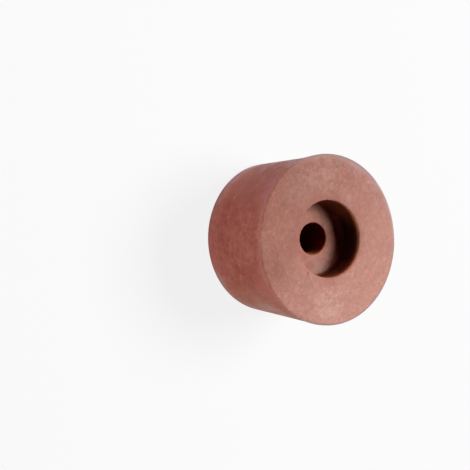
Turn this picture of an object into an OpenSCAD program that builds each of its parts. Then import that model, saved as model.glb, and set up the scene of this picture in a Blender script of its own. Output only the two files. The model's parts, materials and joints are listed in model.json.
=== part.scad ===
// One-hole rubber stopper, moulded in one piece.
// It stands on its narrow end: z = 0 is the narrow end face, and Z is the axis of the taper.

/* [Body] */
// Diameter of the wide end, at the sharp corner before rounding
wide_d = 50; // [46:0.5:60]
// Diameter of the narrow end, at the sharp corner before rounding
narrow_d = 44; // [30:0.5:46]
// Height from the narrow end face to the wide end face
height = 30.5; // [18:0.5:45]
// Rounding of the wide end's rim
wide_edge_r = 0.5; // [0.3:0.1:2]
// Rounding of the narrow end's rim
narrow_edge_r = 1.2; // [0.4:0.1:2]

/* [Recess] */
// Diameter of the round recess in the wide end
recess_d = 22.9; // [20:0.1:34]
// Depth of the recess below the wide end face
recess_depth = 7.7; // [4:0.1:12]
// Fillet between the wall and the floor of the recess
recess_fillet_r = 1.5; // [0.4:0.1:2.5]
// Rounding of the recess's mouth
recess_mouth_r = 0.6; // [0.2:0.1:1]

/* [Bore] */
// Diameter of the bore that takes a glass tube
bore_d = 9.2; // [5:0.1:12]
// Rounding of the bore's mouth at each end
bore_mouth_r = 0.5; // [0.2:0.1:1]

/* [Hidden] */
$fn = 96;

// Radii and heights of the section
narrow_r = narrow_d / 2;
wide_r = wide_d / 2;
recess_r = recess_d / 2;
bore_r = bore_d / 2;
recess_floor_z = height - recess_depth;

// How far the hollow shapes run past the end faces and the axis
overrun = 1;

// How much larger a rounding's arc is drawn, so that it cuts both edges instead of only touching them
arc_overlap = 0.002;

// Directions in the half-section, as [outward, upward]
OUT = [1, 0];
IN = [-1, 0];
UP = [0, 1];
DOWN = [0, -1];
SIDE_UP = unit([wide_r - narrow_r, height]);

// The same direction, one unit long
function unit(v) = v / norm(v);

// The piece of a corner that lies outside an arc of radius r tangent to both of its edges.
// Taking it away rounds the corner. edge_a and edge_b lead away from the corner.
module corner_web(corner, edge_a, edge_b, r) {
    half_angle = acos(edge_a * edge_b) / 2;
    bisector = unit(edge_a + edge_b);
    centre = corner + bisector * r / sin(half_angle);
    setback = r / tan(half_angle);
    difference() {
        polygon([corner + edge_a * setback, centre, corner + edge_b * setback, corner - bisector * r]);
        translate(centre)
            circle(r + arc_overlap);
    }
}

// Half-section of the tapered plug, solid and with round rims
module plug_section() {
    difference() {
        polygon([[0, 0], [narrow_r, 0], [wide_r, height], [0, height]]);
        corner_web([narrow_r, 0], IN, SIDE_UP, narrow_edge_r);
        corner_web([wide_r, height], IN, -SIDE_UP, wide_edge_r);
    }
}

// Half-section of the mould pin that leaves the recess, with the rounded end that fillets its floor
module recess_section() {
    difference() {
        translate([-overrun, recess_floor_z])
            square([recess_r + overrun, recess_depth + overrun]);
        corner_web([recess_r, recess_floor_z], IN, UP, recess_fillet_r);
    }
    corner_web([recess_r, height], OUT, DOWN, recess_mouth_r);
}

// Half-section of the pin that leaves the through bore, flared at both of its mouths
module bore_section() {
    translate([-overrun, -overrun])
        square([bore_r + overrun, height]);
    corner_web([bore_r, recess_floor_z], OUT, DOWN, bore_mouth_r);
    corner_web([bore_r, 0], OUT, UP, bore_mouth_r);
}

// The stopper: one turned section of brick-red rubber
module stopper() {
    color([0.60, 0.33, 0.27])
        rotate_extrude()
            difference() {
                plug_section();
                recess_section();
                bore_section();
            }
}

stopper();
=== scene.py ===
"""A one-hole rubber stopper: the turned plug, its old dusty rubber, and a plain pale studio."""

from __future__ import annotations

import json
import logging
import math
from dataclasses import dataclass, field
from enum import Enum

import bmesh
import bpy
from mathutils import Matrix, Vector, noise


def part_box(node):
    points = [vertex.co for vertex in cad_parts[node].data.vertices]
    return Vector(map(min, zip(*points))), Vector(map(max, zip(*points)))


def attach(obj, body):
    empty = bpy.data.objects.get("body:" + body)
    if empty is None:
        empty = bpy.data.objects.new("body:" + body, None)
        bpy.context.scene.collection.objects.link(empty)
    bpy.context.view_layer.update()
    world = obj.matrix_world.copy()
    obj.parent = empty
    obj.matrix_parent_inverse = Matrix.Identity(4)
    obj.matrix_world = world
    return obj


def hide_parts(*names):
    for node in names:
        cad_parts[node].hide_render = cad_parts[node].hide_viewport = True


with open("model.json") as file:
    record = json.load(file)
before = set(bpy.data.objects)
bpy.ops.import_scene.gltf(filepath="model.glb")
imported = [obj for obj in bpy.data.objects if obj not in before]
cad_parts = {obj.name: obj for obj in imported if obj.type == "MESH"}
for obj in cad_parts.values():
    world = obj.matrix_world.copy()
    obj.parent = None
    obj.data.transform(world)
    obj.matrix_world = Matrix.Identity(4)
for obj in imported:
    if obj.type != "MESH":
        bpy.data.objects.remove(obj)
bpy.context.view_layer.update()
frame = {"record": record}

log = logging.getLogger("rubber_stopper")

Socket = bpy.types.NodeSocket
Colour = tuple[float, float, float, float]
Triple = tuple[float, float, float]

MM = 0.001  # metres in a millimetre
NOISE_MIDDLE = 0.5  # the value that a noise node's results lie round
WHITE: Colour = (1.0, 1.0, 1.0, 1.0)


class Axis(Enum):
    """The axes that the plug is turned round and worn along."""

    X = Vector((1.0, 0.0, 0.0))
    Z = Vector((0.0, 0.0, 1.0))


class Ease(Enum):
    """How a Map Range node goes from its low value to its high one."""

    STRAIGHT = "LINEAR"
    SMOOTH = "SMOOTHSTEP"


def srgb(red: int, green: int, blue: int) -> Colour:
    """Turns a colour of 0 to 255 a channel into linear values.

    Args:
        red: Red channel.
        green: Green channel.
        blue: Blue channel.

    Returns:
        The linear colour, with an alpha of one.
    """

    def linear(channel: int) -> float:
        """Undoes the display curve of one channel."""
        share = channel / 255
        return share / 12.92 if share <= 0.04045 else ((share + 0.055) / 1.055) ** 2.4

    return (linear(red), linear(green), linear(blue), 1.0)


def held(value: float) -> float:
    """Holds a number between nought and one."""
    return min(max(value, 0.0), 1.0)


def mount_size(name: str, key: str) -> float:
    """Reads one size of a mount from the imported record.

    Args:
        name: The mount's name.
        key: The size's key, which ends in _mm.

    Returns:
        The size in metres.

    Raises:
        KeyError: If the record has no such mount.
    """
    for mount in frame["record"]["mounts"]:
        if mount["name"] == name:
            return mount["dims"][key] * MM
    raise KeyError(name)


# ---------------------------------------------------------------- shader graph


@dataclass(frozen=True)
class Fade:
    """How a number that runs from low to high turns into one that runs from start to end.

    It is held at both ends, and low may be above high. Distances are in metres.
    """

    low: float
    high: float
    start: float = 0.0
    end: float = 1.0
    ease: Ease = Ease.SMOOTH


@dataclass(frozen=True)
class Cloudiness:
    """Cloudy noise: the size of its patches, its finer octaves and how strong they are."""

    size: float
    octaves: float
    roughness: float


class Graph:
    """A material's node tree, with a short call for each kind of node."""

    def __init__(self, tree: bpy.types.NodeTree) -> None:
        """Empties the tree and keeps it.

        Args:
            tree: The node tree to fill.
        """
        self.tree = tree
        tree.nodes.clear()

    def node(self, kind: str, **settings: object) -> bpy.types.Node:
        """Adds a node.

        Args:
            kind: The node's type name.
            **settings: Properties to set on it.

        Returns:
            The new node.
        """
        made = self.tree.nodes.new(kind)
        for name, value in settings.items():
            setattr(made, name, value)
        return made

    def feed(self, socket: Socket, value: object) -> None:
        """Links a socket into an input, or sets the input to a constant.

        Args:
            socket: The input socket.
            value: An output socket, or a number, vector or colour.
        """
        if isinstance(value, Socket):
            self.tree.links.new(value, socket)
        else:
            socket.default_value = value

    def math(self, operation: str, first: object, second: object = 0.0) -> Socket:
        """Combines two numbers.

        Args:
            operation: The Math node's operation.
            first: First number or socket.
            second: Second number or socket.

        Returns:
            The result socket.
        """
        made = self.node("ShaderNodeMath", operation=operation)
        self.feed(made.inputs[0], first)
        self.feed(made.inputs[1], second)
        return made.outputs[0]

    def chain(self, operation: str, *parts: object) -> Socket:
        """Combines several numbers, one after another.

        Args:
            operation: The Math nodes' operation.
            *parts: The numbers or sockets.

        Returns:
            The result socket.
        """
        result = parts[0]
        for part in parts[1:]:
            result = self.math(operation, result, part)
        return result

    def product(self, *parts: object) -> Socket:
        """Multiplies numbers or masks together."""
        return self.chain("MULTIPLY", *parts)

    def total(self, *parts: object) -> Socket:
        """Adds numbers together."""
        return self.chain("ADD", *parts)

    def highest(self, *parts: object) -> Socket:
        """Takes the highest of some numbers or masks."""
        return self.chain("MAXIMUM", *parts)

    def mean(self, first: Socket, second: Socket) -> Socket:
        """Takes the mean of two numbers."""
        return self.total(self.product(first, 0.5), self.product(second, 0.5))

    def vector(self, operation: str, first: object, second: object) -> Socket:
        """Combines two vectors into one.

        Args:
            operation: The Vector Math node's operation.
            first: First vector or socket.
            second: Second vector or socket.

        Returns:
            The resulting vector socket.
        """
        made = self.node("ShaderNodeVectorMath", operation=operation)
        self.feed(made.inputs[0], first)
        self.feed(made.inputs[1], second)
        return made.outputs["Vector"]

    def along(self, place: Socket, direction: Triple) -> Socket:
        """Measures how far a place lies along a direction.

        Args:
            place: Coordinates in metres.
            direction: A direction one unit long.

        Returns:
            The distance in metres.
        """
        made = self.node("ShaderNodeVectorMath", operation="DOT_PRODUCT")
        self.feed(made.inputs[0], place)
        self.feed(made.inputs[1], direction)
        return made.outputs["Value"]

    def length(self, vector: Socket) -> Socket:
        """Measures a vector.

        Args:
            vector: The vector socket.

        Returns:
            Its length.
        """
        made = self.node("ShaderNodeVectorMath", operation="LENGTH")
        self.feed(made.inputs[0], vector)
        return made.outputs["Value"]

    def ramp(
        self, value: object, fade: Fade, datum: float = 0.0, end: Socket | None = None
    ) -> Socket:
        """Maps a number as a fade says.

        Args:
            value: The number.
            fade: The ranges that it goes from and to.
            datum: Where the fade's low and high are counted from.
            end: Takes the place of the fade's end, where that varies over the surface.

        Returns:
            The mapped number.
        """
        low, high = datum + fade.low, datum + fade.high
        first, last = fade.start, fade.end if end is None else end
        if low > high:
            low, high, first, last = high, low, last, first
        made = self.node("ShaderNodeMapRange", interpolation_type=fade.ease.value, clamp=True)
        self.feed(made.inputs["Value"], value)
        self.feed(made.inputs["From Min"], low)
        self.feed(made.inputs["From Max"], high)
        self.feed(made.inputs["To Min"], first)
        self.feed(made.inputs["To Max"], last)
        return made.outputs["Result"]

    def noise(self, place: Socket, cloudiness: Cloudiness) -> Socket:
        """Adds cloudy noise.

        Args:
            place: Coordinates in metres.
            cloudiness: What the noise is like.

        Returns:
            A number round NOISE_MIDDLE.
        """
        made = self.node("ShaderNodeTexNoise", noise_dimensions="3D")
        self.feed(made.inputs["Vector"], place)
        self.feed(made.inputs["Scale"], 1.0 / cloudiness.size)
        self.feed(made.inputs["Detail"], cloudiness.octaves)
        self.feed(made.inputs["Roughness"], cloudiness.roughness)
        return made.outputs[0]

    def centred(self, noise_value: Socket, *shares: object) -> Socket:
        """Moves noise so that it lies round nought, and multiplies it by some shares."""
        return self.product(self.math("SUBTRACT", noise_value, NOISE_MIDDLE), *shares)

    def tone(self, colour: Socket, factor: object) -> Socket:
        """Makes a colour lighter or darker by a factor.

        Args:
            colour: The colour.
            factor: What its channels are multiplied by.

        Returns:
            The toned colour.
        """
        made = self.node("ShaderNodeVectorMath", operation="SCALE")
        self.feed(made.inputs[0], colour)
        self.feed(made.inputs["Scale"], factor)
        return made.outputs["Vector"]

    def mix(self, share: object, base: object, over: object) -> Socket:
        """Lays one colour over another.

        Args:
            share: How much of the upper colour shows.
            base: The lower colour.
            over: The upper colour.

        Returns:
            The mixed colour.
        """
        made = self.node("ShaderNodeMix", data_type="RGBA", blend_type="MIX")
        self.feed(made.inputs["Factor"], share)
        self.feed(made.inputs["A"], base)
        self.feed(made.inputs["B"], over)
        return made.outputs["Result"]


# ---------------------------------------------------------------- the plug


@dataclass(frozen=True)
class Corner:
    """One corner of the plug's half-section, and how round it is."""

    name: str
    outward: float
    up: float
    radius: float
    segments: int = 8

    @property
    def place(self) -> Vector:
        """The sharp corner, in the plane that the plug is turned from."""
        return Vector((self.outward, 0.0, self.up))


@dataclass(frozen=True)
class Pit:
    """A small round pit that a bubble or a grain left in the moulded face."""

    centre: Vector
    radius: float
    depth: float


@dataclass(frozen=True)
class Wave:
    """Smooth noise: the size of its waves, and a shift that sets it apart from the others."""

    size: float
    shift: float


@dataclass
class StopperPlug:
    """The stopper: a tapered plug with a recess in its wide end and a bore right through.

    The radii are those of the worn plug, which lies a little inside its box all round.
    """

    # The section
    height: float = field(default_factory=lambda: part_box("stopper")[1].z)
    wide_r: float = 24.72 * MM
    narrow_r: float = 21.9 * MM
    recess_r: float = field(default_factory=lambda: mount_size("recess", "r_mm"))
    recess_depth: float = 7.7 * MM
    bore_r: float = field(default_factory=lambda: mount_size("tube_bore", "r_mm"))
    wide_rim_r: float = 0.5 * MM
    narrow_rim_r: float = 1.2 * MM
    recess_mouth_r: float = 0.5 * MM
    recess_fillet_r: float = 2.2 * MM
    bore_mouth_r: float = 0.4 * MM

    # The mesh, and how near a point has to be to count as on a face
    steps: int = 320
    longest_edge: float = 0.62 * MM
    weld: float = 0.001 * MM
    pit_margin: float = 0.3 * MM
    pit_cuts: int = 3
    side_margin: float = 1.0 * MM
    face_margin: float = 0.05 * MM
    bore_margin: float = 0.2 * MM

    # The squeeze out of round, which grows towards the wide end, and its angle in degrees
    squeeze: float = 0.5 * MM
    squeeze_angle: float = 28.1

    # The side that faces -X, flattened up to a little below the wide rim
    flattened: float = 0.4 * MM
    flat_sharpness: int = 6
    flat_drop: float = 1.0 * MM
    flat_fade: float = 5.0 * MM

    # The flare of the wide rim between +X and -Y, which is full from flare_turn past +X on
    rim_flare: float = 0.2 * MM
    flare_turn: float = 0.25
    flare_sharpness: int = 8
    flare_depth: float = 3.0 * MM
    flare_fade: float = 2.0 * MM

    # How far the holes lie off the middle, and how far round them the rubber follows
    bore_drift: Vector = Vector((-0.09 * MM, -0.11 * MM, 0.0))
    recess_drift: Vector = Vector((-0.24 * MM, -0.1 * MM, 0.0))
    recess_pinch: float = 0.02
    drift_reach: float = 17.0 * MM
    drift_fade: float = 5.0 * MM

    # The swelling of the bore's wall, and how quickly it grows below the upper mouth
    throat: float = 0.66 * MM
    throat_side: Vector = Vector((0.95, 0.31, 0.0))
    throat_rise: float = 7.0

    # Dents in the side, ripples in the wide end and the groove that the mould's flash left
    dent: float = 0.06 * MM
    dent_wave: Wave = Wave(9.0 * MM, 0.0)
    ripple: float = 0.03 * MM
    ripple_wave: Wave = Wave(3.5 * MM, 7.0)
    flash_depth: float = 0.03 * MM
    flash_drop: float = 0.75 * MM
    flash_width: float = 0.35 * MM
    flash_share: float = 0.6
    flash_wave: Wave = Wave(6.0 * MM, 3.0)
    seed: float = 11.0

    @property
    def floor_up(self) -> float:
        """Height of the recess's floor."""
        return self.height - self.recess_depth

    @property
    def pits(self) -> list[Pit]:
        """The pits in the wide end's face.

        Returns:
            The pits, with the deepest one first.
        """
        up = self.height
        return [
            Pit(Vector((10.42 * MM, -7.06 * MM, up)), 0.48 * MM, 0.22 * MM),
            Pit(Vector((-6.9 * MM, -12.8 * MM, up)), 0.3 * MM, 0.12 * MM),
            Pit(Vector((-1.9 * MM, -23.1 * MM, up)), 0.3 * MM, 0.12 * MM),
            Pit(Vector((15.2 * MM, 8.6 * MM, up)), 0.28 * MM, 0.1 * MM),
        ]

    def corners(self) -> list[Corner]:
        """Lists the section's corners.

        Returns:
            The corners, from the bore's lower mouth outward and round.
        """
        return [
            Corner("bore_mouth_low", self.bore_r, 0.0, self.bore_mouth_r),
            Corner("narrow_rim", self.narrow_r, 0.0, self.narrow_rim_r),
            Corner("wide_rim", self.wide_r, self.height, self.wide_rim_r),
            Corner("recess_mouth", self.recess_r, self.height, self.recess_mouth_r),
            Corner("recess_fillet", self.recess_r, self.floor_up, self.recess_fillet_r),
            Corner("bore_mouth_high", self.bore_r, self.floor_up, self.bore_mouth_r),
        ]

    def _lay_section(self, bm: bmesh.types.BMesh) -> list[bmesh.types.BMVert]:
        """Lays the sharp half-section as a closed loop of edges.

        Args:
            bm: The mesh to lay it in.

        Returns:
            The corner vertices, in order.
        """
        verts = [bm.verts.new(corner.place) for corner in self.corners()]
        for first, second in zip(verts, verts[1:] + verts[:1]):
            bm.edges.new((first, second))
        return verts

    def _round_corners(self, bm: bmesh.types.BMesh, verts: list[bmesh.types.BMVert]) -> None:
        """Rounds each corner of the section to its own radius.

        Args:
            bm: The mesh that holds the section.
            verts: The corner vertices, in the order of corners().
        """
        corners = self.corners()
        for index, (vert, corner) in enumerate(zip(verts, corners)):
            before = corners[index - 1].place - corner.place
            after = corners[(index + 1) % len(corners)].place - corner.place
            bmesh.ops.bevel(
                bm,
                geom=[vert],
                offset=corner.radius / math.tan(before.angle(after) / 2),
                offset_type="OFFSET",
                segments=corner.segments,
                profile=0.5,
                affect="VERTICES",
                material=-1,
                clamp_overlap=False,
            )
            log.debug("rounded %s by %.1f mm", corner.name, corner.radius / MM)

    def _cut_long_edges(self, bm: bmesh.types.BMesh) -> None:
        """Cuts the straight edges into short ones, which the ageing can move.

        Args:
            bm: The mesh that holds the section.
        """
        for edge in list(bm.edges):
            cuts = int(edge.calc_length() / self.longest_edge)
            if cuts:
                bmesh.ops.subdivide_edges(bm, edges=[edge], cuts=cuts)

    def _turn(self, bm: bmesh.types.BMesh) -> None:
        """Turns the section once round the axis and closes the seam.

        Args:
            bm: The mesh that holds the section.
        """
        bmesh.ops.spin(
            bm,
            geom=bm.verts[:] + bm.edges[:],
            cent=(0.0, 0.0, 0.0),
            axis=Axis.Z.value,
            angle=math.tau,
            steps=self.steps,
            use_merge=True,
            use_duplicate=False,
        )
        bmesh.ops.remove_doubles(bm, verts=bm.verts[:], dist=self.weld)
        bmesh.ops.recalc_face_normals(bm, faces=bm.faces[:])

    def _press_pits(self, bm: bmesh.types.BMesh) -> None:
        """Cuts the face finer round each pit and presses the pit into it.

        Args:
            bm: The turned mesh.
        """
        for pit in self.pits:
            reach = pit.radius + self.pit_margin
            near = [
                edge
                for edge in bm.edges
                if all((vert.co - pit.centre).length < reach for vert in edge.verts)
            ]
            bmesh.ops.subdivide_edges(bm, edges=near, cuts=self.pit_cuts, use_grid_fill=True)
            # The cuts leave many-sided faces round them. Their split has to be made here: one
            # that is left to the export can lay two triangles on the same edge.
            many_sided = [face for face in bm.faces if len(face.verts) > 4]
            bmesh.ops.triangulate(bm, faces=many_sided)
            for vert in bm.verts:
                share = (vert.co - pit.centre).length / pit.radius
                if share < 1.0:
                    vert.co.z -= pit.depth * (1.0 - share**2) ** 2

    def _wave(self, place: Vector, wave: Wave) -> float:
        """Reads smooth noise at a place.

        Args:
            place: The place.
            wave: The noise's size and shift.

        Returns:
            A number from about minus one to one.
        """
        return noise.noise(place / wave.size + Vector((self.seed + wave.shift, wave.shift, 0.0)))

    def _bend(self, place: Vector, outward: Vector, share: float) -> float:
        """Works out the squeeze, the flare of the wide rim and the flattened side.

        Args:
            place: The point before the wear.
            outward: The level direction from the axis to it.
            share: Its distance from the axis over the wide end's radius.

        Returns:
            The point's move away from the axis.
        """
        angle = math.atan2(place.y, place.x) - math.radians(self.squeeze_angle)
        swell = self.squeeze * share**2 * place.z / self.height * math.cos(2 * angle)
        below_rim = held((self.height - self.flat_drop - place.z) / self.flat_fade)
        flat = self.flattened * max(-outward.x, 0.0) ** self.flat_sharpness * below_rim * share
        near_rim = held((place.z - self.height + self.flare_depth) / self.flare_fade)
        flare = self.rim_flare * held(-outward.y / self.flare_turn) * max(outward.x, 0.0)
        flare *= share**self.flare_sharpness * near_rim
        return swell + flare - flat

    def _flash_groove(self, place: Vector, radius: float) -> float:
        """Works out the faint groove that the mould's flash left under the wide rim.

        Args:
            place: The point before the wear.
            radius: Its distance from the axis.

        Returns:
            How deep the groove is there.
        """
        drop = (self.height - self.flash_drop - place.z) / self.flash_width
        on_side = radius > self.wide_r - self.side_margin
        groove = self.flash_depth * math.exp(-(drop**2)) * on_side
        return groove * (self.flash_share + self.flash_share * self._wave(place, self.flash_wave))

    def _throat_bulge(self, place: Vector, outward: Vector, radius: float) -> float:
        """Works out how far the bore's wall swells inward, below its upper mouth on one side.

        Args:
            place: The point before the wear.
            outward: The level direction from the axis to it.
            radius: Its distance from the axis.

        Returns:
            The point's move towards the axis.
        """
        in_bore = radius < self.bore_r + self.bore_margin and place.z < self.floor_up
        down = (self.floor_up - place.z) / self.floor_up
        swell = self.throat * (1.0 - math.exp(-self.throat_rise * down)) * (1.0 - down) * in_bore
        return swell * max(outward.dot(self.throat_side), 0.0) ** 2

    def _hole_drift(self, place: Vector, radius: float) -> Vector:
        """Works out how far the holes, and the rubber round them, lie off the middle.

        Args:
            place: The point before the wear.
            radius: Its distance from the axis.

        Returns:
            The point's level move.
        """
        rise = held((place.z - self.floor_up) / self.recess_depth)
        pinch = -Axis.X.value * place.x * self.recess_pinch
        drift = self.bore_drift.lerp(self.recess_drift + pinch, rise)
        return drift * held((self.drift_reach - radius) / self.drift_fade)

    def _wear(self, place: Vector) -> Vector:
        """Works out how use and age moved one point of the plug.

        Args:
            place: The point before the wear.

        Returns:
            The point's move.
        """
        radius = place.xy.length
        outward = Vector((place.x, place.y, 0.0)).normalized()
        share = radius / self.wide_r
        level_move = (
            self._bend(place, outward, share)
            - self.dent * (0.5 + 0.5 * self._wave(place, self.dent_wave)) * share
            - self._flash_groove(place, radius)
            - self._throat_bulge(place, outward, radius)
        )
        on_face = place.z > self.height - self.face_margin
        sink = self.ripple * (0.5 + 0.5 * self._wave(place, self.ripple_wave)) * on_face
        move = outward * level_move + self._hole_drift(place, radius)
        return move - Axis.Z.value * sink

    def _age(self, bm: bmesh.types.BMesh) -> None:
        """Moves every point as its wear says.

        Args:
            bm: The turned mesh.
        """
        for vert in bm.verts:
            vert.co += self._wear(vert.co)

    def build(self) -> bpy.types.Object:
        """Makes the plug's mesh and its object.

        Returns:
            The plug, in the place of the CAD node.
        """
        bm = bmesh.new()
        self._round_corners(bm, self._lay_section(bm))
        self._cut_long_edges(bm)
        self._turn(bm)
        self._press_pits(bm)
        self._age(bm)
        mesh = bpy.data.meshes.new("moulded_plug")
        bm.to_mesh(mesh)
        bm.free()
        mesh.shade_smooth()
        plug = bpy.data.objects.new("moulded_plug", mesh)
        bpy.context.scene.collection.objects.link(plug)
        return plug


# ---------------------------------------------------------------- the rubber


@dataclass(frozen=True)
class Stain:
    """A cloudy patch on the rubber, with its place in millimetres."""

    centre: Triple
    reach: float
    colour: Colour
    strength: float


@dataclass(frozen=True)
class Scuff:
    """A faint straight mark rubbed into the rubber, with its places in millimetres."""

    start: Triple
    end: Triple
    width: float
    strength: float


@dataclass(frozen=True)
class Sweep:
    """A fade along a level direction that is one unit long.

    The fade runs over distances from the axis or, for the rubber that faces the direction, over
    the cosine of the angle between the two.
    """

    way: Triple
    fade: Fade


# The tints that stains lay over the rubber's own colours, and the pale tint of the painted
# sheen on the side's two flanks
MAUVE = srgb(198, 152, 152)
ROSE = srgb(168, 96, 84)
CHALK = srgb(236, 200, 184)
OCHRE = srgb(214, 150, 124)
SMOKE = srgb(182, 156, 150)
DUSK = srgb(150, 86, 70)
SOOT = srgb(122, 58, 50)
PINK = srgb(204, 152, 140)
PLUM = srgb(156, 94, 102)
# Painted sheen: the pale tint laid on the side's two flanks
LIMB_SHEEN = srgb(186, 164, 162)
SAND = srgb(146, 114, 84)


@dataclass(frozen=True)
class RubberFinish:
    """Colours, textures and marks of brick-red rubber that has aged on a shelf, with painted light
    and shade.
    """

    # The colours
    side_deep: Colour = srgb(149, 76, 63)
    side_faded: Colour = srgb(162, 91, 78)
    side_film: Colour = srgb(178, 128, 122)
    side_warm: Colour = srgb(178, 98, 86)
    side_rubbed: Colour = srgb(174, 109, 93)
    face_dull: Colour = srgb(169, 105, 89)
    face_bright: Colour = srgb(214, 154, 139)
    face_speck: Colour = srgb(230, 188, 172)
    face_pore: Colour = srgb(126, 70, 58)
    mouth_tint: Colour = srgb(160, 96, 82)
    # The recess's mouth: painted shade on the near lip, and painted light on the lip across from
    # it
    near_lip_painted_shade: Colour = srgb(140, 82, 68)
    warm_lip_painted_light: Colour = srgb(196, 112, 78)
    rim_dust: Colour = srgb(204, 162, 158)
    # On the wide rim: a pale bloom that is partly painted sheen, a painted highlight and a painted
    # shade line
    rim_bloom_and_sheen: Colour = srgb(158, 136, 134)
    rim_painted_highlight: Colour = srgb(204, 186, 182)
    rim_shade_line: Colour = srgb(116, 62, 52)
    # At the foot: a bloom that is partly painted sheen, and a pale patch that is partly wear and
    # partly painted light
    foot_bloom_and_sheen: Colour = srgb(176, 150, 150)
    foot_wear_and_light: Colour = srgb(170, 138, 128)
    # The recess's wall, painted as light and shade: the base is painted dark as shade, then
    # painted shade, painted light, a pale colour of dust and painted light, and a painted glow
    # below the mouth
    inside: Colour = srgb(92, 54, 38)
    inside_painted_shade: Colour = srgb(48, 18, 10)
    inside_painted_light: Colour = srgb(184, 108, 62)
    inside_dust_and_light: Colour = srgb(166, 120, 88)
    inside_painted_glow: Colour = srgb(222, 146, 104)
    # The bore is painted dark as shade, with a painted glow on its upper lip; the dark colour also
    # shades the recess's far corner
    bore: Colour = srgb(104, 34, 8)
    bore_lip_painted_glow: Colour = srgb(172, 88, 48)

    # The shine, with the roughness that the patches and the mottle give
    roughness: Fade = Fade(0.8, 1.2, 0.58, 0.76)
    specular: float = 0.22
    sheen: float = 0.06
    sheen_roughness: float = 0.45
    sheen_tint: Colour = srgb(226, 220, 214)

    # The textures, from the largest to the finest
    clouds: Cloudiness = Cloudiness(11.0 * MM, 3.0, 0.55)
    patches: Cloudiness = Cloudiness(3.2 * MM, 4.0, 0.6)
    mottles: Cloudiness = Cloudiness(1.25 * MM, 2.0, 0.6)
    grains: Cloudiness = Cloudiness(0.5 * MM, 2.0, 0.7)

    # How strongly they tone the colours, and how much of that lifts all the channels alike
    grain_strength: float = 0.42
    mottle_strength: float = 0.55
    side_grain: float = 0.8
    side_veil: float = 0.1
    face_veil: float = 0.25
    inside_grain: float = 0.8

    # How strongly they stand in relief
    relief_depth: float = 0.05 * MM
    grain_relief: float = 0.5
    mottle_relief: float = 0.7

    # The marks of age
    face_stains: tuple[Stain, ...] = (
        Stain((19.0, 1.5, 30.5), 6.5, CHALK, 0.3),
        Stain((-18.5, -3.0, 30.5), 11.0, PINK, 0.4),
        Stain((-17.0, 15.2, 30.5), 4.0, MAUVE, 0.45),
        Stain((-12.0, 19.1, 30.5), 4.5, MAUVE, 0.4),
        Stain((-22.3, 8.8, 30.5), 4.5, MAUVE, 0.6),
        Stain((-23.0, 2.0, 30.5), 3.5, SMOKE, 0.2),
        Stain((-15.0, -12.0, 30.5), 9.0, SMOKE, 0.15),
        Stain((-11.0, 6.0, 30.5), 5.0, PINK, 0.4),
        Stain((-12.5, -4.7, 30.5), 4.0, ROSE, 0.4),
        Stain((3.0, -14.0, 30.5), 5.0, ROSE, 0.4),
        Stain((11.0, 1.0, 30.5), 5.0, ROSE, 0.3),
        Stain((9.5, -19.0, 30.5), 9.0, DUSK, 0.45),
        Stain((-18.0, 12.0, 30.5), 9.0, PINK, 0.2),
        Stain((2.0, 21.0, 30.5), 6.0, ROSE, 0.15),
    )
    side_stains: tuple[Stain, ...] = (
        Stain((-15.5, -18.0, 19.0), 13.0, SOOT, 0.4),
        Stain((-17.3, -13.3, 2.5), 5.0, SMOKE, 0.4),
        Stain((-11.8, -21.7, 27.8), 3.4, PLUM, 0.6),
        Stain((-16.0, -18.8, 27.2), 4.5, PLUM, 0.4),
        Stain((22.0, -9.0, 14.0), 17.0, SAND, 0.4),
        Stain((-4.4, -23.7, 22.6), 4.0, MAUVE, 0.12),
        Stain((13.0, -19.5, 20.0), 9.0, SOOT, 0.15),
        Stain((-1.8, -24.5, 26.5), 8.0, ROSE, 0.4),
    )
    scuffs: tuple[Scuff, ...] = (
        Scuff((3.4, -23.0, 13.2), (5.0, -22.7, 13.1), 0.6, 0.25),
        Scuff((7.0, -22.6, 16.5), (10.1, -21.4, 16.6), 0.7, 0.25),
        Scuff((10.1, -21.4, 16.6), (12.8, -19.6, 14.4), 0.7, 0.2),
        Scuff((12.8, -19.6, 14.6), (14.5, -19.3, 22.3), 0.6, 0.25),
        Scuff((12.3, -18.8, 4.9), (13.5, -18.5, 9.1), 0.7, 0.2),
        Scuff((-10.4, -20.6, 10.6), (-11.6, -19.9, 10.6), 0.8, 0.25),
        Scuff((-14.1, -19.3, 19.2), (-15.0, -18.7, 20.0), 0.8, 0.3),
        Scuff((-4.5, -22.6, 10.4), (-5.3, -22.5, 11.5), 0.7, 0.25),
        Scuff((-15.9, -17.8, 19.0), (-17.5, -16.3, 20.1), 0.6, 0.2),
        Scuff((-15.2, -18.8, 22.1), (-16.7, -17.5, 22.2), 0.5, 0.25),
    )
    # On the floor, the DUSK patch at (-1.5, 6.6) is painted shade along the edge of the wall's
    # shadow, and the CHALK patch at (9.4, 3.4) is partly dust and partly painted light over that
    # edge
    floor_stains_and_shading: tuple[Stain, ...] = (
        Stain((-1.0, -8.0, 22.8), 6.0, ROSE, 0.4),
        Stain((5.0, -6.0, 22.8), 4.0, ROSE, 0.3),
        Stain((8.5, 0.5, 22.8), 5.0, SAND, 0.2),
        Stain((9.4, 3.4, 23.0), 4.0, CHALK, 0.6),
        Stain((-1.5, 6.6, 22.8), 4.2, DUSK, 0.45),
        Stain((6.5, -2.5, 22.8), 4.5, DUSK, 0.4),
        Stain((0.0, -10.5, 22.8), 5.0, DUSK, 0.25),
        Stain((7.7, 1.8, 22.8), 4.2, DUSK, 0.35),
        Stain((-7.6, -0.6, 22.8), 4.2, OCHRE, 0.25),
    )


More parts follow.
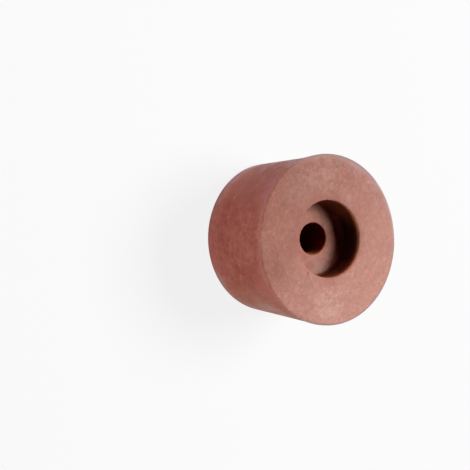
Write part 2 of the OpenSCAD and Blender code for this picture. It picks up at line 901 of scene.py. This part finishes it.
@dataclass(frozen=True)
class RubberZones:
    """Where each part of the rubber's finish shows on the plug, and how it fades out there.

    The end of a name says what the fade runs over: _rise the height over the narrow end, _top
    the height from the wide end's face, _floor the height over the recess's floor, _ring the
    distance from the edge of what it goes round, _across and _along the X and Y axes, _sweep a
    direction of its own, _side the way that the rubber faces, and _break the noise that tatters
    the mask.
    """

    # The zones of the plug
    face_top: Fade = Fade(-0.6 * MM, -0.06 * MM)
    base_rise: Fade = Fade(0.75 * MM, 0.15 * MM)
    recess_ring: Fade = Fade(0.5 * MM, 0.05 * MM)
    recess_top: Fade = Fade(-0.1 * MM, -0.7 * MM)
    recess_floor: Fade = Fade(1.1 * MM, 0.15 * MM)
    bore_ring: Fade = Fade(0.45 * MM, 0.05 * MM)

    # Stains, scuffs and pits, with the cores and edges as shares of their radii
    stain_core: float = 0.15
    stain_break: Fade = Fade(0.82, 1.12, 0.35, 1.3)
    scuff_break: Fade = Fade(0.35, 0.55, 0.5, 1.0)
    pit_core: float = 0.25
    pit_edge: float = 0.8
    pit_share: float = 0.6

    # The side: clouds, warmth low down, the film and the rubbed band below the wide rim
    side_clouds: Fade = Fade(0.4, 0.6)
    warm_rise: Fade = Fade(10.0 * MM, 3.0 * MM, 0.0, 0.75)
    film_top: Fade = Fade(-5.5 * MM, -0.8 * MM)
    film_sweep: Sweep = Sweep((-0.92, 0.39, 0.0), Fade(0.0, 18.0 * MM, 0.1, 0.14))
    film_break: Fade = Fade(0.35, 0.65, 0.4, 1.0)
    rubbed_top: Fade = Fade(-2.8 * MM, -1.0 * MM, 0.0, 0.6)
    rubbed_side: Sweep = Sweep((0.26, -0.966, 0.0), Fade(0.5, 0.95))

    # The painted sheen on the side's two flanks, by the cosine of the angle from the X axis, and
    # how far the clouds move its edge
    limb_sheen_raggedness: float = 1.1
    limb_sheen_left: Fade = Fade(0.78, 1.08, 0.0, 0.48)
    limb_sheen_right: Fade = Fade(0.82, 1.08, 0.0, 0.26)

    # The bloom at the foot, partly a painted sheen, and the pale patch there, partly wear and
    # partly painted light over the foot's shade, whose edge the patches move
    bloom_rise: Fade = Fade(7.0 * MM, 2.0 * MM)
    bloom_sweep: Sweep = Sweep((-0.99, -0.14, 0.0), Fade(4.0 * MM, 21.0 * MM, 0.08, 0.6))
    bloom_break: Fade = Fade(0.3, 0.6, 0.6, 1.0)
    foot_unevenness: float = 9.0 * MM
    foot_rise: Fade = Fade(4.6 * MM, 1.2 * MM)
    foot_ring: Fade = Fade(-1.5 * MM, -0.8 * MM)
    foot_across: Fade = Fade(6.0 * MM, 14.0 * MM, 0.0, 0.75)

    # The wide end: from dull to bright, swayed by the clouds and the patches, then the specks,
    # the pores, the tint round the recess and the grain
    face_sweep: Sweep = Sweep((0.82, 0.57, 0.0), Fade(-24.0 * MM, 24.0 * MM, ease=Ease.STRAIGHT))
    face_clouds: float = 0.5
    face_patches: float = 0.6
    face_range: Fade = Fade(0.0, 1.0, ease=Ease.STRAIGHT)
    specks: Fade = Fade(0.5, 0.74)
    speck_shares: Fade = Fade(0.2, 0.9, 0.15, 0.3)
    pores: Fade = Fade(0.44, 0.28, 0.0, 0.16)
    mouth_ring: Fade = Fade(3.2 * MM, 0.4 * MM)
    mouth_across: Fade = Fade(8.0 * MM, 0.0, 0.0, 0.25)
    grain_across: Fade = Fade(-14.0 * MM, 8.0 * MM, 0.45, 0.68)

    # The wide rim: dust, a pale bloom that is partly painted sheen, with a painted highlight on
    # the side that faces the key lamp, and a painted shade line in its round
    edge_top: Fade = Fade(-1.1 * MM, -0.5 * MM)
    dust_ring: Fade = Fade(-2.4 * MM, -0.4 * MM)
    dust_sweep: Sweep = Sweep((-0.8, 0.6, 0.0), Fade(4.0 * MM, 19.0 * MM, 0.0, 0.6))
    rim_ring: Fade = Fade(-0.9 * MM, -0.4 * MM)
    rim_along: Fade = Fade(-18.0 * MM, 2.0 * MM, 0.0, 0.85)
    rim_break: Fade = Fade(0.35, 0.62, 0.6, 1.1)
    highlight_side: Sweep = Sweep((-0.42, 0.906, 0.0), Fade(0.88, 0.985))
    line_lower_top: Fade = Fade(-1.3 * MM, -0.9 * MM)
    line_upper_top: Fade = Fade(-0.2 * MM, -0.55 * MM)
    line_side: Sweep = Sweep((0.62, -0.785, 0.0), Fade(0.86, 0.97))
    line_break: Fade = Fade(0.42, 0.6, 0.2, 0.5)

    # The recess's mouth: painted shade on the near side, and painted light across from it
    dark_lip_ring: Fade = Fade(0.6 * MM, 0.2 * MM)
    dark_lip_along: Fade = Fade(0.0, -6.0 * MM, 0.0, 0.3)
    warm_lip_ring: Fade = Fade(1.0 * MM, 0.4 * MM)
    warm_lip_sweep: Sweep = Sweep((0.85, 0.53, 0.0), Fade(6.0 * MM, 10.5 * MM, 0.0, 0.65))

    # The recess's wall: a stretch of painted light, a pale stretch that is partly dust and partly
    # painted light, painted shade in the middle, and a painted glow below the mouth, which is
    # measured both ways from the axis
    painted_light_sweep: Sweep = Sweep((0.98, 0.17, 0.0), Fade(6.0 * MM, 10.5 * MM))
    dust_and_light_sweep: Sweep = Sweep((-0.98, 0.17, 0.0), Fade(5.0 * MM, 10.5 * MM))
    painted_shade_top: Fade = Fade(-2.0 * MM, -3.6 * MM, 0.0, 0.65)
    painted_shade_sweep: Sweep = Sweep((0.45, 0.89, 0.0), Fade(5.0 * MM, 10.0 * MM))
    painted_glow_top: Fade = Fade(-2.8 * MM, -0.4 * MM)
    painted_glow_sweep: Sweep = Sweep((0.9, -0.2, 0.0), Fade(3.0 * MM, 8.0 * MM, 0.45, 1.0))

    # Painted shade in the corner between the recess's wall and floor, darker in a nook, and the
    # painted glow on the bore's lip
    corner_floor: Fade = Fade(3.0 * MM, 1.6 * MM)
    corner_ring: Fade = Fade(-1.0 * MM, -0.4 * MM, 0.0, 0.7)
    corner_sweep: Sweep = Sweep((0.7, 0.714, 0.0), Fade(6.5 * MM, 9.0 * MM))
    nook_ring: Fade = Fade(-2.4 * MM, -1.2 * MM, 0.0, 0.6)
    nook_sweep: Sweep = Sweep((-0.05, 1.0, 0.0), Fade(8.3 * MM, 9.6 * MM))
    bore_lip_floor: Fade = Fade(-6.0 * MM, -0.6 * MM)
    bore_lip_sweep: Sweep = Sweep((0.9, 0.43, 0.0), Fade(1.5 * MM, 4.4 * MM))


class AgedRubber:
    """Builds the rubber's material: dusty ends, a cleaner side, and painted shade and light
    inside.
    """

    def __init__(self, finish: RubberFinish, zones: RubberZones, plug: StopperPlug) -> None:
        """Starts the material.

        Args:
            finish: Its colours, textures and marks.
            zones: Where they show.
            plug: The plug that wears it, from whose sizes the zones are counted.
        """
        self.finish = finish
        self.zones = zones
        self.plug = plug
        self.material = bpy.data.materials.new("aged_rubber")
        self.material.use_nodes = True
        self.graph = Graph(self.material.node_tree)
        self.place = self.graph.node("ShaderNodeTexCoord").outputs["Object"]
        split = self.graph.node("ShaderNodeSeparateXYZ")
        self.graph.feed(split.inputs[0], self.place)
        self.across = split.outputs["X"]
        self.along = split.outputs["Y"]
        self.up = split.outputs["Z"]
        flat = self.graph.vector("MULTIPLY", self.place, (1.0, 1.0, 0.0))
        self.outward = self.graph.length(flat)
        hole = self.graph.vector("SUBTRACT", self.place, tuple(plug.recess_drift))
        stretch = (1.0 + plug.recess_pinch, 1.0, 0.0)
        self.hole_outward = self.graph.length(self.graph.vector("MULTIPLY", hole, stretch))
        self.cloud = self.graph.noise(self.place, finish.clouds)
        self.patch = self.graph.noise(self.place, finish.patches)
        self.mottle = self.graph.noise(self.place, finish.mottles)
        self.grain = self.graph.noise(self.place, finish.grains)

    def _under_top(self, fade: Fade) -> Socket:
        """Masks by height, counted from the wide end's face."""
        return self.graph.ramp(self.up, fade, self.plug.height)

    def _over_floor(self, fade: Fade) -> Socket:
        """Masks by height, counted from the recess's floor."""
        return self.graph.ramp(self.up, fade, self.plug.floor_up)

    def _round_recess(self, fade: Fade) -> Socket:
        """Masks by distance from the recess's axis, counted from the recess's wall."""
        return self.graph.ramp(self.hole_outward, fade, self.plug.recess_r)

    def _swept(self, sweep: Sweep) -> Socket:
        """Masks along a level direction."""
        return self.graph.ramp(self.graph.along(self.place, sweep.way), sweep.fade)

    def _cosine(self, way: Triple) -> Socket:
        """Measures the cosine of the angle round the axis between a place and a direction."""
        return self.graph.math("DIVIDE", self.graph.along(self.place, way), self.outward)

    def _facing(self, sweep: Sweep) -> Socket:
        """Masks the rubber that faces one way round the axis."""
        return self.graph.ramp(self._cosine(sweep.way), sweep.fade)

    def _spot(self, centre: Triple, inner: float, outer: float) -> Socket:
        """Masks a ball round a point of the plug.

        Args:
            centre: The point, in metres.
            inner: The mask is full inside this radius.
            outer: The mask is empty outside this one.

        Returns:
            The mask.
        """
        reach = self.graph.length(self.graph.vector("SUBTRACT", self.place, centre))
        return self.graph.ramp(reach, Fade(outer, inner))

    def _stained(self, colour: Socket, stains: tuple[Stain, ...]) -> Socket:
        """Lays cloudy stains over a colour, broken up by the mottle.

        Args:
            colour: The colour under them.
            stains: The stains.

        Returns:
            The stained colour.
        """
        graph, zones = self.graph, self.zones
        broken = graph.ramp(graph.total(self.patch, self.mottle), zones.stain_break)
        for stain in stains:
            centre = tuple(value * MM for value in stain.centre)
            mask = self._spot(centre, zones.stain_core * stain.reach * MM, stain.reach * MM)
            share = graph.product(mask, broken, stain.strength)
            colour = graph.mix(share, colour, stain.colour)
        return colour

    def _scuffed(self, colour: Socket) -> Socket:
        """Draws the scuffs over a colour, broken up by the mottle.

        Args:
            colour: The colour under them.

        Returns:
            The scuffed colour.
        """
        graph = self.graph
        broken = graph.ramp(self.mottle, self.zones.scuff_break)
        for scuff in self.finish.scuffs:
            start, end = Vector(scuff.start) * MM, Vector(scuff.end) * MM
            way, width = (end - start).normalized(), scuff.width * MM
            offset = graph.vector("SUBTRACT", self.place, start)
            run = graph.along(offset, way)
            aside = graph.length(graph.vector("CROSS_PRODUCT", offset, way))
            mask = graph.product(
                graph.ramp(aside, Fade(width, 0.0)),
                graph.ramp(run, Fade(-width, width)),
                graph.ramp(run, Fade(width, -width), (end - start).length),
                broken,
                scuff.strength,
            )
            colour = graph.mix(mask, colour, MAUVE)
        return colour

    def _grained(self, colour: Socket, share: object, veil: float) -> Socket:
        """Tones a colour up and down with the fine grain and the mottle, like thin dust.

        Args:
            colour: The colour.
            share: How much of the finish's full grain shows.
            veil: How much of the grain lifts all the channels alike.

        Returns:
            The grained colour.
        """
        graph, finish = self.graph, self.finish
        lift = graph.total(
            graph.centred(self.grain, share, finish.grain_strength),
            graph.centred(self.mottle, share, finish.mottle_strength),
        )
        toned = graph.tone(colour, graph.math("ADD", lift, 1.0))
        return graph.vector("ADD", toned, graph.math("MULTIPLY", lift, veil))

    def _side(self) -> Socket:
        """Colours the tapered side: soft clouds, small blotches, film and bloom at the rims, and
        painted sheen on its flanks and foot.

        Returns:
            The side's colour.
        """
        graph, finish, zones = self.graph, self.finish, self.zones
        clouds = graph.mean(self.cloud, self.patch)
        tint = graph.ramp(clouds, zones.side_clouds)
        colour = graph.mix(tint, finish.side_deep, finish.side_faded)
        colour = graph.mix(graph.ramp(self.up, zones.warm_rise), colour, finish.side_warm)
        colour = self._scuffed(self._stained(colour, finish.side_stains))
        film = graph.product(
            self._under_top(zones.film_top),
            self._swept(zones.film_sweep),
            graph.ramp(self.patch, zones.film_break),
        )
        colour = graph.mix(film, colour, finish.side_film)
        rubbed = graph.product(self._under_top(zones.rubbed_top), self._facing(zones.rubbed_side))
        colour = graph.mix(rubbed, colour, finish.side_rubbed)
        # Painted sheen: a pale tint on the side's two flanks along the X axis
        aside = graph.math("DIVIDE", self.across, self.outward)
        ragged = graph.centred(clouds, zones.limb_sheen_raggedness)
        left = graph.ramp(graph.math("SUBTRACT", ragged, aside), zones.limb_sheen_left)
        right = graph.ramp(graph.math("ADD", ragged, aside), zones.limb_sheen_right)
        colour = graph.mix(graph.math("ADD", left, right), colour, LIMB_SHEEN)
        # The bloom at the foot is partly a painted sheen
        bloom = graph.product(
            graph.ramp(self.up, zones.bloom_rise),
            self._swept(zones.bloom_sweep),
            graph.ramp(self.patch, zones.bloom_break),
        )
        colour = graph.mix(bloom, colour, finish.foot_bloom_and_sheen)
        return self._grained(colour, finish.side_grain, finish.side_veil)

    def _end(self) -> Socket:
        """Colours the dusty ends: brighter to one side, mottled, grained and speckled.

        Returns:
            The ends' colour.
        """
        graph, finish, zones = self.graph, self.finish, self.zones
        slope = graph.total(
            self._swept(zones.face_sweep),
            graph.centred(self.cloud, zones.face_clouds),
            graph.centred(self.patch, zones.face_patches),
        )
        share = graph.ramp(slope, zones.face_range)
        colour = graph.mix(share, finish.face_dull, finish.face_bright)
        colour = self._stained(colour, finish.face_stains)
        spots = graph.mean(self.mottle, self.grain)
        speck = graph.ramp(spots, zones.specks, end=graph.ramp(share, zones.speck_shares))
        colour = graph.mix(speck, colour, finish.face_speck)
        colour = graph.mix(graph.ramp(spots, zones.pores), colour, finish.face_pore)
        mouth = graph.product(
            self._round_recess(zones.mouth_ring), graph.ramp(self.across, zones.mouth_across)
        )
        colour = graph.mix(mouth, colour, finish.mouth_tint)
        return self._grained(colour, graph.ramp(self.across, zones.grain_across), finish.face_veil)

    def _on_rim(self, ring: Fade) -> Socket:
        """Masks the wide rim, which the squeeze pushed out of round.

        Args:
            ring: How the mask fades across the rim, counted from its smallest radius.

        Returns:
            The mask.
        """
        graph, plug = self.graph, self.plug
        turn = math.radians(plug.squeeze_angle)
        cosine = self._cosine((math.cos(turn), math.sin(turn), 0.0))
        swell = graph.product(cosine, cosine, 2.0 * plug.squeeze)
        rim = graph.math("SUBTRACT", self.outward, swell)
        return graph.product(
            graph.ramp(rim, ring, plug.wide_r - plug.squeeze),
            self._under_top(self.zones.edge_top),
        )

    def _rim_wear_and_light(self, colour: Socket) -> Socket:
        """Lays dust, a bloom with painted sheen and highlight, and a painted shade line on the
        wide rim, and a worn patch with painted light at the narrow rim.

        Args:
            colour: The colour under them.

        Returns:
            The colour with both.
        """
        graph, finish, zones = self.graph, self.finish, self.zones
        broken = graph.ramp(self.patch, zones.rim_break)
        dust = graph.product(self._on_rim(zones.dust_ring), self._swept(zones.dust_sweep), broken)
        colour = graph.mix(dust, colour, finish.rim_dust)
        # Pale bloom, partly painted sheen, turning to a painted highlight on the side facing the
        # key lamp
        bloom = graph.product(
            self._on_rim(zones.rim_ring), graph.ramp(self.along, zones.rim_along), broken
        )
        pale = graph.mix(self._facing(zones.highlight_side), finish.rim_bloom_and_sheen, finish.rim_painted_highlight)
        colour = graph.mix(bloom, colour, pale)
        # A painted shade line in the round of the wide rim
        line = graph.product(
            self._under_top(zones.line_lower_top),
            self._under_top(zones.line_upper_top),
            self._facing(zones.line_side),
            graph.ramp(self.patch, zones.line_break),
        )
        colour = graph.mix(line, colour, finish.rim_shade_line)
        # A pale patch at the narrow rim, partly wear and partly painted light over its shade
        uneven_up = graph.math("ADD", self.up, graph.centred(self.patch, zones.foot_unevenness))
        foot = graph.product(
            graph.ramp(uneven_up, zones.foot_rise),
            graph.ramp(self.outward, zones.foot_ring, self.plug.narrow_r),
            graph.ramp(self.across, zones.foot_across),
        )
        return graph.mix(foot, colour, finish.foot_wear_and_light)

    def _pits(self) -> Socket:
        """Masks the insides of the plug's pits.

        Returns:
            The mask.
        """
        inner, outer = self.zones.pit_core, self.zones.pit_edge
        return self.graph.highest(
            *(
                self._spot(tuple(pit.centre), inner * pit.radius, outer * pit.radius)
                for pit in self.plug.pits
            )
        )

    def _inside(self) -> Socket:
        """Paints light and shade on the recess's wall: painted light on one side, dust and painted
        light across from it, painted shade between and a painted glow under the mouth.

        Returns:
            The wall's colour.
        """
        graph, finish, zones = self.graph, self.finish, self.zones
        colour = graph.mix(self._swept(zones.painted_light_sweep), finish.inside, finish.inside_painted_light)
        colour = graph.mix(self._swept(zones.dust_and_light_sweep), colour, finish.inside_dust_and_light)
        deep = graph.product(self._under_top(zones.painted_shade_top), self._swept(zones.painted_shade_sweep))
        colour = graph.mix(deep, colour, finish.inside_painted_shade)
        off_middle = graph.math("ABSOLUTE", graph.along(self.place, zones.painted_glow_sweep.way))
        glow = graph.product(
            self._under_top(zones.painted_glow_top), graph.ramp(off_middle, zones.painted_glow_sweep.fade)
        )
        colour = graph.mix(glow, colour, finish.inside_painted_glow)
        return self._grained(colour, finish.inside_grain, 0.0)

    def _lipped(self, colour: Socket) -> Socket:
        """Paints the round of the recess's mouth: painted shade on one side and painted light
        across from it.

        Args:
            colour: The colour under it.

        Returns:
            The colour with both.
        """
        graph, finish, zones = self.graph, self.finish, self.zones
        near_top = self._under_top(zones.edge_top)
        dark = graph.product(
            self._round_recess(zones.dark_lip_ring),
            near_top,
            graph.ramp(self.along, zones.dark_lip_along),
        )
        colour = graph.mix(dark, colour, finish.near_lip_painted_shade)
        warm = graph.product(
            self._round_recess(zones.warm_lip_ring), near_top, self._swept(zones.warm_lip_sweep)
        )
        return graph.mix(warm, colour, finish.warm_lip_painted_light)

    def _shaded_corner(self, colour: Socket, in_recess: Socket) -> Socket:
        """Paints shade in the far corner between the recess's wall and floor, and darker shade in
        a nook in it.

        Args:
            colour: The colour under them.
            in_recess: The mask of the recess.

        Returns:
            The colour with both.
        """
        graph, finish, zones = self.graph, self.finish, self.zones
        low = self._over_floor(zones.corner_floor)
        for ring, sweep, shade in (
            (zones.corner_ring, zones.corner_sweep, finish.bore),
            (zones.nook_ring, zones.nook_sweep, finish.inside_painted_shade),
        ):
            mask = graph.product(self._round_recess(ring), low, in_recess, self._swept(sweep))
            colour = graph.mix(mask, colour, shade)
        return colour

    def _colour(self) -> Socket:
        """Puts the colours of all the zones together.

        Returns:
            The rubber's colour.
        """
        graph, finish, zones = self.graph, self.finish, self.zones
        dusty = self._end()
        on_ends = graph.highest(
            self._under_top(zones.face_top), graph.ramp(self.up, zones.base_rise)
        )
        colour = self._rim_wear_and_light(graph.mix(on_ends, self._side(), dusty))
        in_recess = self._round_recess(zones.recess_ring)
        on_wall = graph.product(in_recess, self._under_top(zones.recess_top))
        # The recess's wall, painted with light and shade
        colour = graph.mix(on_wall, colour, self._inside())
        # The floor's stains, with painted shade and painted light at the edge of the wall's shadow
        on_floor = graph.product(self._over_floor(zones.recess_floor), in_recess)
        colour = graph.mix(on_floor, colour, self._stained(dusty, finish.floor_stains_and_shading))
        # Painted light and shade on the mouth's lip, and painted shade in the far corner
        colour = self._shaded_corner(self._lipped(colour), in_recess)
        # The bore, painted dark as shade, with a painted glow on its upper lip
        bore_lip_painted_glow = graph.product(
            self._over_floor(zones.bore_lip_floor), self._swept(zones.bore_lip_sweep)
        )
        bore = graph.mix(bore_lip_painted_glow, finish.bore, finish.bore_lip_painted_glow)
        in_bore = graph.ramp(self.outward, zones.bore_ring, self.plug.bore_r)
        colour = graph.mix(in_bore, colour, bore)
        return graph.mix(graph.product(self._pits(), zones.pit_share), colour, finish.side_deep)

    def build(self) -> bpy.types.Material:
        """Adds the relief and the shine to the colours.

        Returns:
            The material.
        """
        graph, finish = self.graph, self.finish
        relief = graph.total(
            graph.product(self.grain, finish.grain_relief),
            graph.product(self.mottle, finish.mottle_relief),
            self.patch,
        )
        bump = graph.node("ShaderNodeBump")
        graph.feed(bump.inputs["Strength"], 1.0)
        graph.feed(bump.inputs["Distance"], finish.relief_depth)
        graph.feed(bump.inputs["Height"], relief)
        roughness = graph.ramp(graph.total(self.patch, self.mottle), finish.roughness)
        shader = graph.node("ShaderNodeBsdfPrincipled")
        graph.feed(shader.inputs["Base Color"], self._colour())
        graph.feed(shader.inputs["Roughness"], roughness)
        graph.feed(shader.inputs["Specular IOR Level"], finish.specular)
        graph.feed(shader.inputs["Sheen Weight"], finish.sheen)
        graph.feed(shader.inputs["Sheen Roughness"], finish.sheen_roughness)
        graph.feed(shader.inputs["Sheen Tint"], finish.sheen_tint)
        graph.feed(shader.inputs["Normal"], bump.outputs["Normal"])
        output = graph.node("ShaderNodeOutputMaterial")
        graph.feed(output.inputs["Surface"], shader.outputs["BSDF"])
        return self.material


# ---------------------------------------------------------------- the studio


@dataclass(frozen=True)
class SoftLamp:
    """A square or oblong soft lamp that shines at the stopper, and by default a low strip.

    The level is how bright it alone makes a white surface that faces it. Angles are in degrees
    and sizes in metres.
    """

    name: str
    azimuth: float
    level: float
    elevation: float = 1.5
    distance: float = 0.8
    width: float = 1.0
    height: float = 0.07

    def build(self, target: Vector) -> bpy.types.Object:
        """Makes the lamp.

        Args:
            target: The point that it shines at.

        Returns:
            The lamp's object.
        """
        across = math.radians(self.azimuth)
        rise = math.radians(self.elevation)
        away = Vector(
            (
                math.sin(across) * math.cos(rise),
                -math.cos(across) * math.cos(rise),
                math.sin(rise),
            )
        )
        data = bpy.data.lights.new(self.name, "AREA")
        data.shape = "RECTANGLE"
        data.size = self.width
        data.size_y = self.height
        data.energy = self.level * math.pi**2 * self.distance**2
        lamp = bpy.data.objects.new(self.name, data)
        lamp.location = target + away * self.distance
        lamp.rotation_euler = (-away).to_track_quat("-Z", "Y").to_euler()
        lamp.visible_camera = False
        bpy.context.scene.collection.objects.link(lamp)
        return lamp


@dataclass
class Studio:
    """A plain pale floor, a white world and soft lamps.

    The glow share is how much of the floor the camera sees as pure white.
    """

    lamps: tuple[SoftLamp, ...] = (
        SoftLamp("key_lamp", 200.0, 1.16, elevation=51.0, distance=1.0, width=0.54, height=0.54),
        SoftLamp("front_fill", 0.0, 0.55),
        SoftLamp("right_fill", 90.0, 0.50),
        SoftLamp("left_fill", 270.0, 0.22),
        SoftLamp("back_fill", 180.0, 0.20),
    )
    floor_size: float = 6.0
    floor_white: float = 0.85
    glow_share: float = 0.85
    world_light: float = 0.0

    def _floor_material(self) -> bpy.types.Material:
        """Makes a white floor that the camera sees near white, with the shadow kept.

        Returns:
            The floor's material.
        """
        material = bpy.data.materials.new("studio_floor")
        material.use_nodes = True
        graph = Graph(material.node_tree)
        matt = graph.node("ShaderNodeBsdfDiffuse")
        graph.feed(matt.inputs["Color"], (self.floor_white,) * 3 + (1.0,))
        glow = graph.node("ShaderNodeEmission")
        graph.feed(glow.inputs["Strength"], 1.0)
        path = graph.node("ShaderNodeLightPath")
        seen = path.outputs["Is Camera Ray"]
        blend = graph.node("ShaderNodeMixShader")
        graph.feed(blend.inputs[0], graph.math("MULTIPLY", seen, self.glow_share))
        graph.feed(blend.inputs[1], matt.outputs[0])
        graph.feed(blend.inputs[2], glow.outputs[0])
        output = graph.node("ShaderNodeOutputMaterial")
        graph.feed(output.inputs["Surface"], blend.outputs[0])
        return material

    def _lay_floor(self) -> None:
        """Lays the floor under the stopper."""
        bm = bmesh.new()
        bmesh.ops.create_grid(bm, x_segments=1, y_segments=1, size=self.floor_size / 2)
        mesh = bpy.data.meshes.new("studio_floor")
        bm.to_mesh(mesh)
        bm.free()
        floor = bpy.data.objects.new("studio_floor", mesh)
        mesh.materials.append(self._floor_material())
        bpy.context.scene.collection.objects.link(floor)

    def _light_world(self) -> None:
        """Sets a world that the camera sees white, and that lights by world_light alone."""
        world = bpy.data.worlds.new("studio_world")
        world.use_nodes = True
        bpy.context.scene.world = world
        graph = Graph(world.node_tree)
        path = graph.node("ShaderNodeLightPath")
        seen = path.outputs["Is Camera Ray"]
        strength = graph.ramp(seen, Fade(0.0, 1.0, self.world_light, 1.0, Ease.STRAIGHT))
        background = graph.node("ShaderNodeBackground")
        graph.feed(background.inputs["Color"], WHITE)
        graph.feed(background.inputs["Strength"], strength)
        output = graph.node("ShaderNodeOutputWorld")
        graph.feed(output.inputs["Surface"], background.outputs[0])

    def build(self, target: Vector) -> None:
        """Makes the floor, the world and the lamps.

        Args:
            target: The point that the lamps shine at.
        """
        self._lay_floor()
        self._light_world()
        for lamp in self.lamps:
            lamp.build(target)
            log.info("lamp %s", lamp.name)


@dataclass(frozen=True)
class LongLens:
    """The camera: far off, with a long lens, and rolled on its side.

    At a tilt of 0 it looks straight down, and at 90 level. Angles are in degrees.
    """

    lens_mm: float = 280.0
    sensor_mm: float = 36.0
    clip_end: float = 20.0
    aside: float = -7.07 * MM
    back: float = 639.55 * MM
    up: float = 876.45 * MM
    tilt: float = 35.619
    heading: float = -0.646
    roll: float = 93.17

    def build(self) -> None:
        """Makes the camera and gives it to the scene."""
        data = bpy.data.cameras.new("camera")
        data.lens = self.lens_mm
        data.sensor_width = self.sensor_mm
        data.clip_end = self.clip_end
        turn = (
            Matrix.Rotation(math.radians(self.heading), 3, "Z")
            @ Matrix.Rotation(math.radians(self.tilt), 3, "X")
            @ Matrix.Rotation(math.radians(self.roll), 3, "Z")
        )
        camera = bpy.data.objects.new("camera", data)
        camera.location = (self.aside, -self.back, self.up)
        camera.rotation_euler = turn.to_euler()
        bpy.context.scene.collection.objects.link(camera)
        bpy.context.scene.camera = camera


def main() -> None:
    """Builds the camera, the stopper and the studio, and reports each piece."""
    logging.basicConfig(level=logging.INFO, format="%(message)s")
    bpy.context.scene.view_settings.view_transform = "Standard"
    plug = StopperPlug()
    wide_end = Vector((0.0, 0.0, plug.height))
    LongLens().build()
    piece = plug.build()
    piece.data.materials.append(AgedRubber(RubberFinish(), RubberZones(), plug).build())
    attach(piece, "root")
    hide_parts("stopper")
    log.info("piece %s: %d faces", piece.name, len(piece.data.polygons))
    Studio().build(wide_end)


if __name__ == "__main__":
    main()
